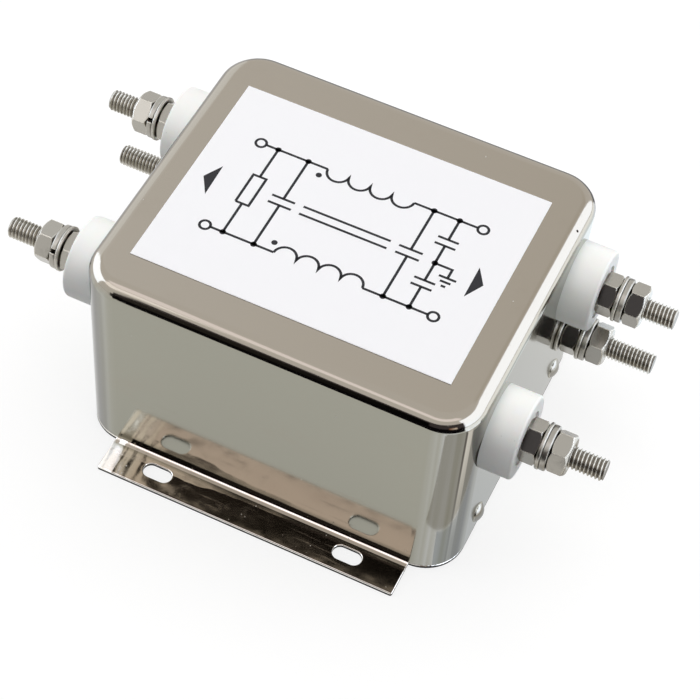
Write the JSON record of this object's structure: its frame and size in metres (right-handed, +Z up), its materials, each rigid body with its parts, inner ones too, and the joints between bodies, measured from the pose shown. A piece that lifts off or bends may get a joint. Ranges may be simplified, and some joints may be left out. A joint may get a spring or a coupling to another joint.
{
  "type": "emi line filter",
  "caption": "Boxy power line filter in a bright drawn metal can, with threaded stud terminals in white bushings on both ends and slotted mounting flanges.",
  "frame": {"origin": "middle of the base plate's underside, on the mounting surface", "axes": "+Z up out of the mounting surface, +X towards the load end, +Y towards the side of the earth studs"},
  "size_m": [0.1636, 0.1112, 0.0627],
  "materials": {
    "nickel_can": "bright nickel plated steel",
    "nickel_plate": "bright nickel plated steel",
    "label_film": "white polyester film",
    "rivet_metal": "bright domed rivets",
    "stainless": "turned stainless steel",
    "white_nylon": "moulded white nylon",
    "copper": "bare copper strip",
    "board_laminate": "glass-fibre laminate",
    "brass": "turned brass",
    "ferrite": "coated ferrite",
    "enamelled_copper": "enamelled copper wire",
    "capacitor_box": "moulded box",
    "capacitor_disc": "dipped disc",
    "resistor_body": "lacquered barrel"
  },
  "bodies": {
    "root": {"base_plate": "nickel_plate", "bleed_resistor": "resistor_body", "board": "board_laminate", "board_screws": "stainless", "bracket_line": "nickel_plate", "bracket_load": "nickel_plate", "bushing_line_back": "white_nylon", "bushing_line_front": "white_nylon", "bushing_load_back": "white_nylon", "bushing_load_front": "white_nylon", "case_cover": "nickel_can", "choke_core": "ferrite", "choke_divider": "white_nylon", "clamp_nuts": "stainless", "flat_washers": "stainless", "insulator_line_back": "white_nylon", "insulator_line_front": "white_nylon", "insulator_load_back": "white_nylon", "insulator_load_front": "white_nylon", "label": "label_film", "link_line_back": "copper", "link_line_front": "copper", "link_load_back": "copper", "link_load_front": "copper", "rivets": "rivet_metal", "spring_washers": "stainless", "standoffs": "brass", "stud_line_back": "stainless", "stud_line_front": "stainless", "stud_line_ground": "stainless", "stud_load_back": "stainless", "stud_load_front": "stainless", "stud_load_ground": "stainless", "winding_back": "enamelled_copper", "winding_front": "enamelled_copper", "wire_nuts": "stainless", "x_capacitor_line": "capacitor_box", "x_capacitor_load": "capacitor_box", "y_capacitor_back": "capacitor_disc", "y_capacitor_front": "capacitor_disc"}
  },
  "joints": []
}
